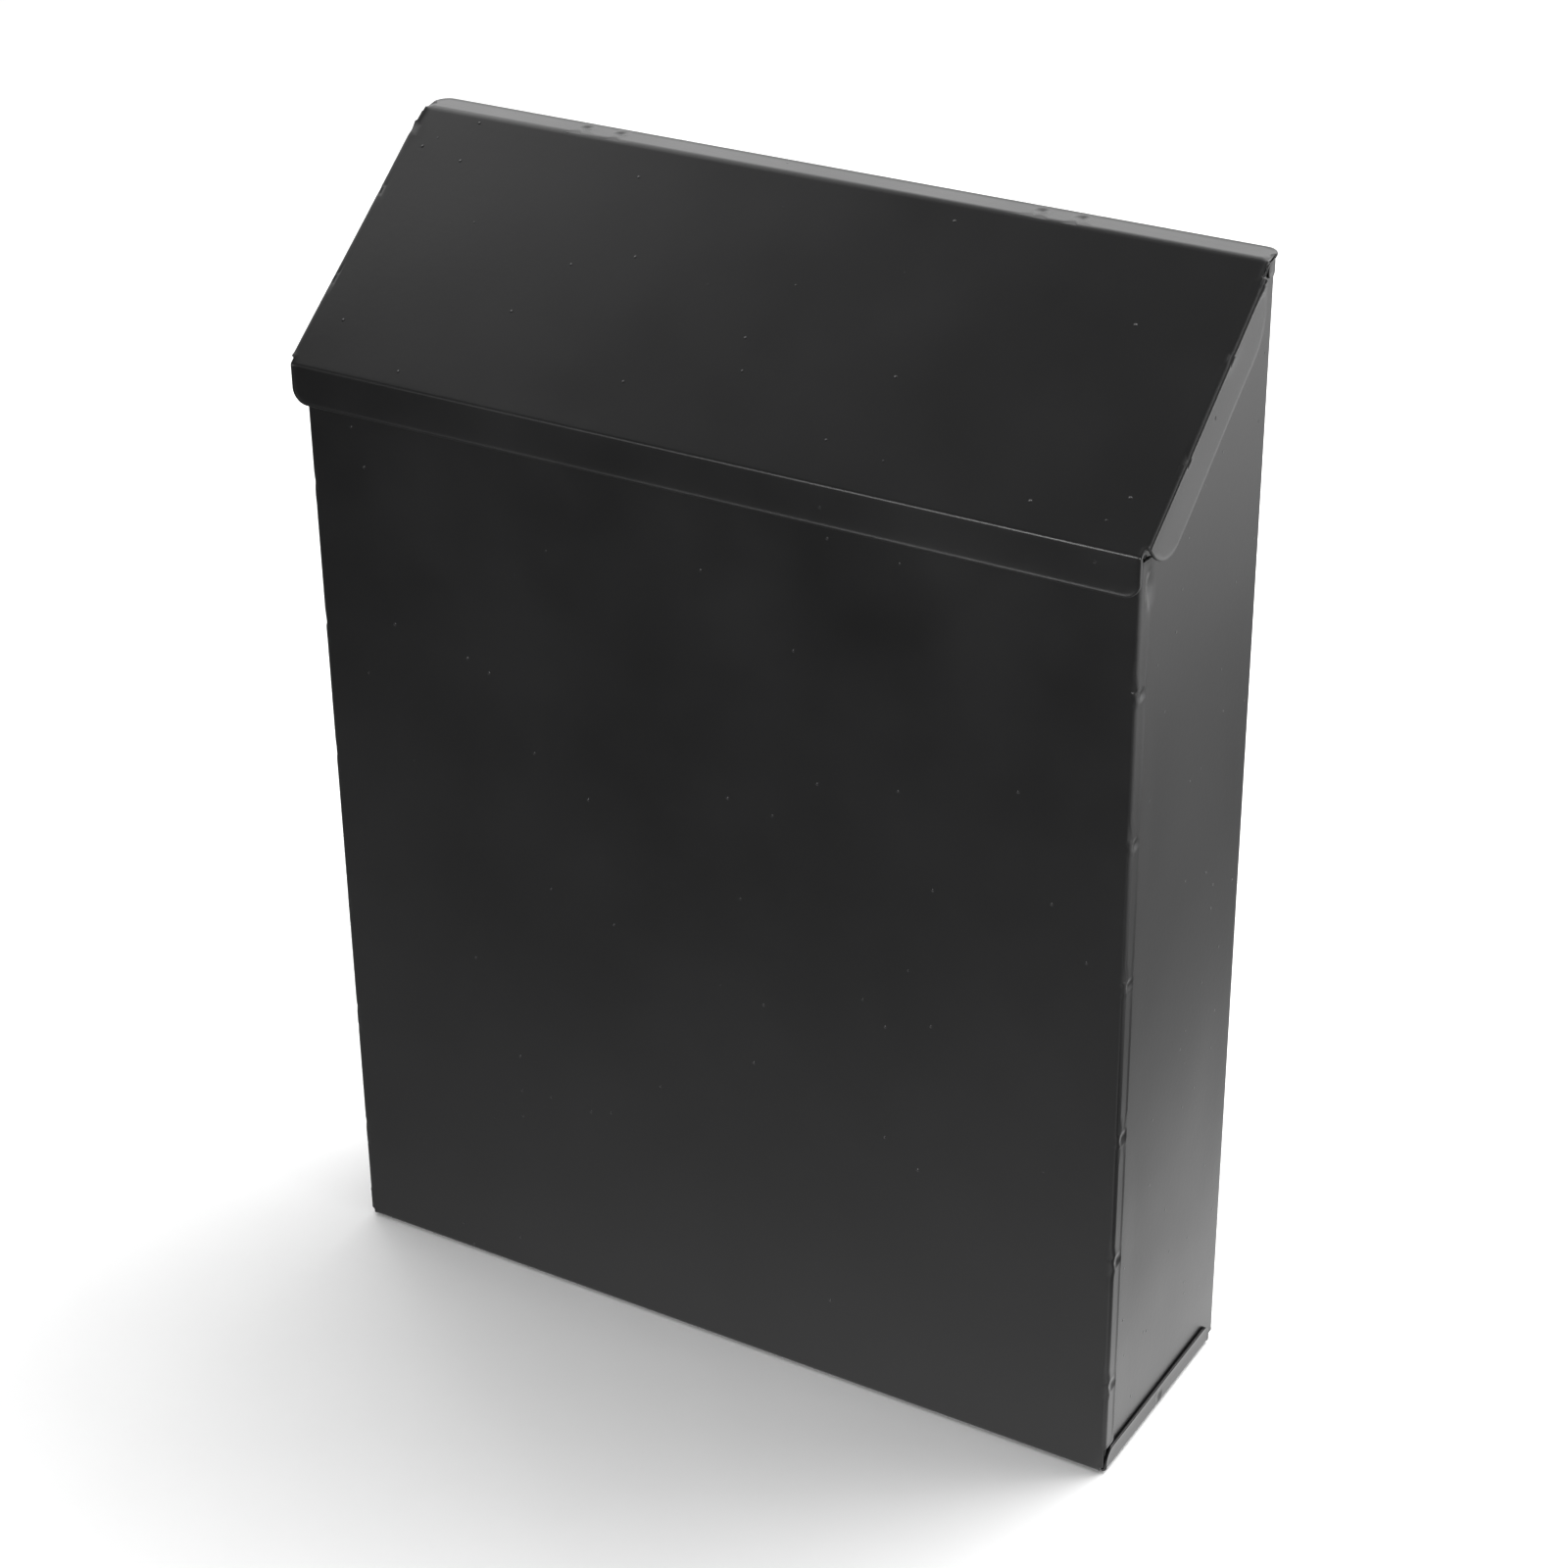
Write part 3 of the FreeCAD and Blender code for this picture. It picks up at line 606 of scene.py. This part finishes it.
def make_back():
    half, front = BACK_HIGH.x, BACK_LOW.y
    low, high = BACK_LOW.z, BACK_HIGH.z
    line = FoldLine((half, front), 90, [
        (-front - BEND, 0),
        (BEND, 90),
        (2 * (half - BEND), 0),
        (BEND, 90),
        (-front - BEND, 0),
    ])
    back_from = line.bends[0][1]

    def on_back(x):
        return back_from + half - BEND - x

    under_lid = SHEET + 1.0
    slant_top = LID_HIGH.z - under_lid / math.cos(SLOPE)
    slant_start = STRIP_DEPTH + (slant_top - high) / math.tan(SLOPE)
    side_top = slant_top - (-front - STRIP_DEPTH) * math.tan(SLOPE)
    place = fold_wrap(line)
    outline = rounded([
        (0, low, 0.8),
        (0, side_top, 0.8),
        (-front - slant_start, high, 2.0),
        (line.length + front + slant_start, high, 2.0),
        (line.length, side_top, 0.8),
        (line.length, low, 0.8),
    ])
    hole_radius, weld_drop = 2.75, 13
    holes = [circle((on_back(x), z), hole_radius) for x in (-80, 80) for z in (-100, 100)]
    weld_places = [side * HINGE_X + offset for side in (-1, 1) for offset in (-5.3, 5.3)]
    welds = [(on_back(x), AXIS_Z - weld_drop) for x in weld_places]

    def bulge(flat, where):
        sides = fade(np.abs(where[:, 0]), half - 1, half)
        fore = fade(where[:, 1], front + 5, front + 14) * (1 - fade(where[:, 1], -12, -3))
        upright = fade(where[:, 2], low, low + 30) * (1 - fade(where[:, 2], 110, 140))
        ripple = waves(flat[:, ::-1], [(0.12, 210, 160, 0.5), (0.05, 90, 110, 1.9)])
        return (corner_dent(where) - np.abs(ripple) * fore * upright) * sides

    cuts = (np.arange(1.6, 14, 1.3), low + KNOCK_LINES)
    blank = Blank(outline, place, holes=holes, welds=welds, spacing=5.0, cuts=cuts)
    piece = sheet_piece("back_and_sides_sheet", blank, place, welds, bulge)
    return finish_piece(piece, "back_and_sides", "mailbox_body", "black_coat")


# ---------------------------------------------------------------- hinges

def make_back_leaf(side, middle):
    """Leaf welded inside the back, curled round the pin at its middle."""
    reach, inner = 18.0, BACK_HIGH.y - SHEET
    lean = math.degrees(math.atan((inner - AXIS_Y - KNUCKLE) / reach))
    line = FoldLine((inner, AXIS_Z - reach), 90 + lean, [(reach, 0), (KNUCKLE, 300)])
    knuckle, shoulder = 4.23, reach - KNUCKLE - 0.3
    outline = rounded(symmetric([
        (HINGE_HALF_LENGTH, 0, 1.5),
        (HINGE_HALF_LENGTH, shoulder, 0.8),
        (knuckle, shoulder, CORNER),
        (knuckle, line.length, CORNER),
    ]))
    return make_leaf(f"hinge_{side}_back_leaf", outline, line, middle, False, "mailbox_body")


def make_lid_leaf(side, middle):
    """Leaf welded under the lid, curled round the pin at both ends."""
    reach, under = 5.3, LID_HIGH.z - SHEET
    fall = math.degrees(math.atan((under - AXIS_Z - KNUCKLE) / reach))
    line = FoldLine((reach - AXIS_Y, under), 180 + fall, [(reach, 0), (KNUCKLE, 290)])
    space, shoulder = 4.43, reach - KNUCKLE - 0.3
    outline = rounded(symmetric([
        (HINGE_HALF_LENGTH, 0, 1.5),
        (HINGE_HALF_LENGTH, line.length, CORNER),
        (space, line.length, CORNER),
        (space, shoulder, CORNER),
    ]))
    return make_leaf(f"hinge_{side}_lid_leaf", outline, line, middle, True, "lid")


def make_leaf(node, outline, line, middle, mirrored, body):
    place = fold_curl(line, middle, mirrored)
    blank = Blank(outline, place, spacing=2.0, edge=0.15)
    piece = sheet_piece(f"{node}_curled", blank, place, thickness=LEAF)
    return finish_piece(piece, node, body, "hinge_coat")


def make_pin(side, middle):
    """Hinge pin with a domed, peened head at each end."""
    half, shank, head_radius, head = HINGE_HALF_LENGTH + 0.05, 0.9, 1.25, 0.5
    dome = [(half + head * math.sin(a), head_radius * math.cos(a)) for a in np.linspace(0, math.pi / 2, 7)]
    right = [(half, shank), (half, head_radius - 0.1), *dome[:-1], (half + head, 0.01)]
    profile = [(-x, radius) for x, radius in reversed(right)] + right
    count = 32
    angles = np.linspace(0, 2 * math.pi, count, endpoint=False)
    rings = [np.column_stack([
        np.full(count, middle + x), AXIS_Y + radius * np.cos(angles), AXIS_Z + radius * np.sin(angles)])
        for x, radius in profile]
    faces = [tuple(range(count))[::-1]]
    faces += [
        (ring * count + i, ring * count + (i + 1) % count, (ring + 1) * count + (i + 1) % count,
         (ring + 1) * count + i)
        for ring in range(len(profile) - 1) for i in range(count)
    ]
    faces.append(tuple(range((len(profile) - 1) * count, len(profile) * count)))
    piece = mesh_object(f"hinge_{side}_pin_turned", np.vstack(rings), faces)
    return finish_piece(piece, f"hinge_{side}_pin", "lid", "pin_steel")


def finish_piece(piece, node, body, slot):
    """Give a piece its material, hide the CAD node that it stands for and let it move with its body."""
    piece.data.materials.append(MATERIALS[slot])
    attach(piece, body)
    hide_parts(node)
    return piece


# ---------------------------------------------------------------- materials

class Shader:
    """A material under construction, with short calls for its nodes."""

    def __init__(self, name):
        self.material = bpy.data.materials.new(name)
        self.material.use_nodes = True
        self.tree = self.material.node_tree
        self.surface = self.tree.nodes["Principled BSDF"]
        self.place = self.tree.nodes.new("ShaderNodeTexCoord").outputs["Object"]

    def node(self, kind, inputs=(), **settings):
        node = self.tree.nodes.new(f"ShaderNode{kind}")
        for key, value in settings.items():
            setattr(node, key, value)
        for key, value in dict(inputs).items():
            if isinstance(value, bpy.types.NodeSocket):
                self.tree.links.new(value, node.inputs[key])
            else:
                node.inputs[key].default_value = value
        return node

    def noise(self, scale, detail=2.0, roughness=0.5):
        inputs = {"Vector": self.place, "Scale": scale, "Detail": detail, "Roughness": roughness}
        return self.node("TexNoise", inputs).outputs["Fac"]

    def between(self, value, low, high, from_low=0.0, from_high=1.0):
        """A value mapped to a range, and kept within it."""
        span = {"From Min": from_low, "From Max": from_high, "To Min": low, "To Max": high}
        return self.node("MapRange", {"Value": value, **span}).outputs["Result"]

    def colour(self, value, first, second):
        """A mix of two colours."""
        mix = self.node("Mix", {0: value}, data_type="RGBA")
        mix.inputs[6].default_value = (*first, 1)
        mix.inputs[7].default_value = (*second, 1)
        return mix.outputs[2]

    def bump(self, height, distance, strength=1.0, normal=None):
        inputs = {"Height": height, "Distance": distance, "Strength": strength}
        if normal is not None:
            inputs["Normal"] = normal
        return self.node("Bump", inputs).outputs["Normal"]

    def specks(self, scale, share, radius):
        """Small round grains in a share of the cells of a grid."""
        inputs = {"Vector": self.place, "Scale": scale}
        cells = self.node("TexVoronoi", inputs)
        chosen = self.node("SeparateColor", {"Color": cells.outputs["Color"]}).outputs[0]
        chosen = self.node("Math", {0: chosen, 1: share}, operation="LESS_THAN").outputs[0]
        grain = self.between(cells.outputs["Distance"], 1.0, 0.0, 0.0, radius * scale)
        return self.node("Math", {0: grain, 1: chosen}, operation="MULTIPLY").outputs[0]

    def finish(self, **inputs):
        for key, value in inputs.items():
            socket = self.surface.inputs[key.replace("_", " ")]
            if isinstance(value, bpy.types.NodeSocket):
                self.tree.links.new(value, socket)
            else:
                socket.default_value = value
        return self.material


def powder_coat(name, base, light, roughness):
    """Satin black powder coat: a fine orange peel, with a grain of dust under the coat here and there."""
    shader = Shader(name)
    broad = shader.noise(22.0, 3.0)
    fine = shader.noise(1400.0, 1.0)
    normal = shader.bump(shader.noise(620.0, 2.0), 0.000012)
    normal = shader.bump(fine, 0.000004, normal=normal)
    normal = shader.bump(shader.specks(300.0, 0.035, 0.0005), 0.00024, normal=normal)
    tone = shader.between(broad, 0.0, 1.0, 0.3, 0.7)
    return shader.finish(
        Base_Color=shader.colour(tone, base, light),
        Roughness=shader.between(broad, roughness - 0.03, roughness + 0.03, 0.3, 0.7),
        IOR=1.38,
        Normal=normal,
    )


def bare_steel(name):
    """Zinc-bright pin steel, brushed round by turning."""
    shader = Shader(name)
    streaks = shader.noise(900.0, 3.0)
    return shader.finish(
        Base_Color=shader.colour(streaks, (0.42, 0.42, 0.41), (0.6, 0.6, 0.58)),
        Metallic=1.0,
        Roughness=shader.between(streaks, 0.28, 0.42),
        Normal=shader.bump(streaks, 0.000006),
    )


def floor_material():
    shader = Shader("pale_floor")
    grain = shader.noise(40.0, 3.0)
    return shader.finish(
        Base_Color=shader.colour(grain, (0.92, 0.92, 0.92), (0.94, 0.94, 0.94)),
        Roughness=0.9,
        Normal=shader.bump(grain, 0.0002),
    )


# ---------------------------------------------------------------- setting

def make_floor():
    bpy.ops.mesh.primitive_plane_add(size=8, location=(0, 0, FRONT_LOW.z / METRE - 0.0005))
    floor = bpy.context.object
    floor.name = "floor"
    floor.data.materials.append(floor_material())
    return floor


def softbox(name, centre, aim, width, height, radiance):
    """A rectangular area light at centre, facing aim, given by how bright its face looks."""
    light = bpy.data.lights.new(name, "AREA")
    light.shape = "RECTANGLE"
    light.size = width
    light.size_y = height
    light.energy = radiance * math.pi * width * height
    box = bpy.data.objects.new(name, light)
    box.location = centre
    box.rotation_euler = (Vector(aim) - Vector(centre)).to_track_quat("-Z", "Y").to_euler()
    bpy.context.scene.collection.objects.link(box)
    return box


def make_lights():
    world = bpy.data.worlds.new("studio")
    world.use_nodes = True
    background = world.node_tree.nodes["Background"]
    background.inputs["Color"].default_value = (1, 1, 1, 1)
    background.inputs["Strength"].default_value = 0.41
    bpy.context.scene.world = world
    boxes = [
        softbox("back_softbox", (-0.62, 1.05, 0.75), (0, 0, 0.1), 1.5, 0.8, 2.0),
        softbox("left_softbox", (-0.95, 0.25, 0.95), (0, 0, 0.1), 0.8, 0.8, 2.4),
        softbox("front_softbox", (-0.32, -1.2, 0.12), (0, 0, 0.1), 0.3, 0.4, 20.0),
        softbox("right_softbox", (1.25, -0.1, 0.9), (0, 0, 0.1), 0.35, 0.35, 6.0),
        softbox("overhead_softbox", (0.4, 0.55, 0.9), (0.25, 0.3, -0.16), 1.0, 0.8, 8.0),
    ]
    for box in boxes:
        box.visible_camera = False
    return boxes


def make_painted_reflection_panel():
    """A glowing graded card on the floor, standing in for the reflector card photographers use: its glow
    lights nothing and casts no shadow, and shows only as painted reflections in the mailbox.

    It is bright beside the right side and dim in front, and brightens towards the foot of both."""
    bpy.ops.mesh.primitive_plane_add(size=3, location=(0, 0, FRONT_LOW.z / METRE + 0.0002))
    card = bpy.context.object
    card.name = "painted_reflection_panel"
    shader = Shader("painted_reflection_glow")
    place = shader.node("SeparateXYZ", {0: shader.place})
    across, depth = place.outputs[0], place.outputs[1]
    beside = shader.between(across, 2.1, 0.28, 0.12, 0.215)
    beyond = shader.between(across, 0.0, 1.5, 0.28, 0.42)
    far = shader.between(across, 0.0, 3.0, 0.56, 0.74)
    right = shader.node("Math", {0: beside, 1: beyond}, operation="ADD").outputs[0]
    right = shader.node("Math", {0: right, 1: far}, operation="ADD").outputs[0]
    ahead = shader.between(depth, 0.03, 1.0, -0.50, -0.08)
    shift = shader.between(across, 0.6, 1.25, -0.15, 0.12)
    front = shader.node("Math", {0: ahead, 1: shift}, operation="MULTIPLY").outputs[0]
    is_right = shader.between(across, 0.0, 1.0, 0.115, 0.125)
    # The card's glow is painted reflection: brighter beside the right side than in front.
    glow = shader.node("Mix", {0: is_right, 2: front, 3: right}, data_type="FLOAT").outputs[0]
    emission = shader.node("Emission", {"Strength": glow})
    output = shader.tree.nodes["Material Output"]
    shader.tree.links.new(emission.outputs[0], output.inputs["Surface"])
    card.data.materials.append(shader.material)
    # Hidden from the camera, from diffuse light and from shadows, so the glow shows only as painted
    # reflections.
    for kind in ("camera", "diffuse", "shadow", "transmission", "volume_scatter"):
        setattr(card, f"visible_{kind}", False)
    return card


def make_camera():
    data = bpy.data.cameras.new("camera")
    data.lens = 81.35
    data.sensor_width = 36
    camera = bpy.data.objects.new("camera", data)
    direction = Vector((-0.4491, 0.7535, -0.4801))
    roll = Matrix.Rotation(math.radians(0.65), 4, direction.normalized())
    turned = roll @ direction.to_track_quat("-Z", "Y").to_matrix().to_4x4()
    camera.matrix_world = Matrix.Translation((0.42799, -0.74925, 0.45605)) @ turned
    bpy.context.scene.collection.objects.link(camera)
    bpy.context.scene.camera = camera


MATERIALS = {
    "black_coat": powder_coat("black_powder_coat", (0.0045, 0.0045, 0.0047), (0.006, 0.006, 0.0063), 0.31),
    "hinge_coat": powder_coat("thin_coat_on_hinge", (0.016, 0.016, 0.0165), (0.024, 0.024, 0.024), 0.46),
    "pin_steel": bare_steel("pin_steel"),
}

make_back()
make_front()
make_lid()
for hinge_side, hinge_middle in (("left", -HINGE_X), ("right", HINGE_X)):
    make_back_leaf(hinge_side, hinge_middle)
    make_lid_leaf(hinge_side, hinge_middle)
    make_pin(hinge_side, hinge_middle)

make_floor()
# A glowing card that shows only as painted reflections on the mailbox.
make_painted_reflection_panel()
make_lights()
make_camera()
bpy.context.scene.view_settings.view_transform = "Standard"
